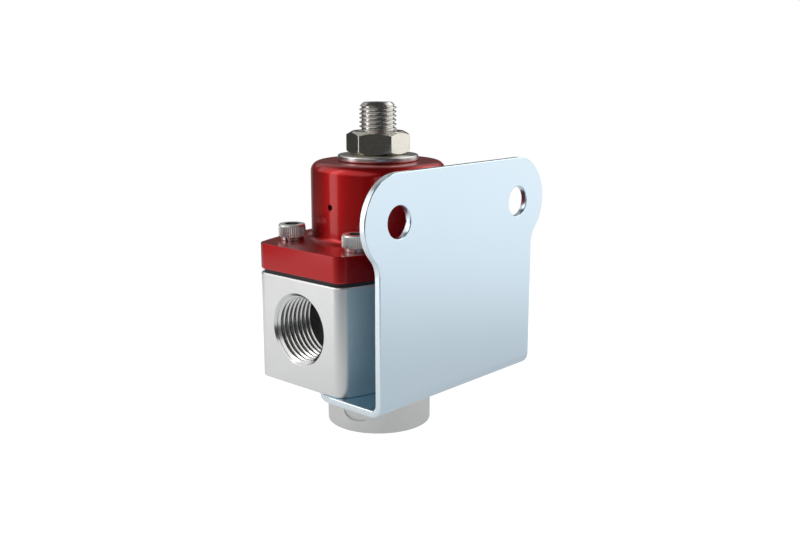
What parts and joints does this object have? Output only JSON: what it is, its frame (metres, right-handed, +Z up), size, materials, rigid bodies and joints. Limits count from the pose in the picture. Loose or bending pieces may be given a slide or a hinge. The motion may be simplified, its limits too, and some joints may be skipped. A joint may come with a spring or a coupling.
{
  "type": "fuel pressure regulator",
  "caption": "Return-style fuel pressure regulator: ported aluminium block, red diaphragm bonnet with adjusting stud and lock nut, return fitting below and a steel L mounting bracket.",
  "frame": {"origin": "centre of the return fitting's lower face, on the tower axis", "axes": "+Z up the tower and the adjusting stud, X along the two side ports, +Y out of the bracket's mounting face"},
  "size_m": [0.0674, 0.0477, 0.0837],
  "materials": {
    "body_aluminium": "satin machined, clear anodised",
    "red_anodised": "glossy red anodised",
    "zinc_steel": "bright blue-white zinc plate",
    "fitting_metal": "satin turned",
    "bright_steel": "bright nickel-like plate",
    "screw_steel": "plain stainless, knurled heads",
    "pressed_steel": "zinc-plated pressing",
    "spring_steel": "oiled spring wire",
    "seat_brass": "turned brass",
    "black_rubber": "matt black"
  },
  "bodies": {
    "housing": {"body": "body_aluminium", "bonnet": "red_anodised", "diaphragm": "black_rubber", "spring": "spring_steel", "bottom_fitting": "fitting_metal", "valve_seat": "seat_brass", "fitting_oring": "black_rubber", "bracket": "zinc_steel", "cap_screws": "screw_steel", "lock_washers": "screw_steel"},
    "valve": {"valve_stem": "screw_steel", "valve_disc": "black_rubber", "lower_plate": "pressed_steel", "spring_cup": "pressed_steel", "rivet_washer": "pressed_steel"},
    "spring_seat": {"spring_button": "pressed_steel"},
    "adjuster": {"adjusting_screw": "bright_steel"},
    "nut_washer": {"washer": "bright_steel"},
    "nut": {"lock_nut": "bright_steel"}
  },
  "joints": [
    {"name": "valve_lift", "type": "slide", "parent": "housing", "child": "valve", "axis": [0, 0, 1], "range_m": [0, 0.001], "stiffness_N_per_m": 9000, "springref_m": -0.003, "deforming": ["diaphragm", "spring"]},
    {"name": "spring_seat_slide", "type": "slide", "parent": "housing", "child": "spring_seat", "axis": [0, 0, 1], "range_m": [-0.00212, 0.00106], "deforming": ["spring"]},
    {"name": "adjuster_turn", "type": "hinge", "parent": "spring_seat", "child": "adjuster", "pos_m": [0, 0, 0.0797], "axis": [0, 0, 1], "range_deg": [-742, 378]},
    {"name": "washer_slide", "type": "slide", "parent": "housing", "child": "nut_washer", "axis": [0, 0, 1], "range_m": [0, 0.00317]},
    {"name": "lock_nut_turn", "type": "hinge", "parent": "nut_washer", "child": "nut", "pos_m": [0, 0, 0.0735], "axis": [0, 0, 1], "range_deg": [-10, 1113]}
  ],
  "couplings": [
    {"joint": "adjuster_turn", "follows": "spring_seat_slide", "rad_per_m": 5936.9},
    {"joint": "lock_nut_turn", "follows": "washer_slide", "rad_per_m": 5936.9}
  ]
}
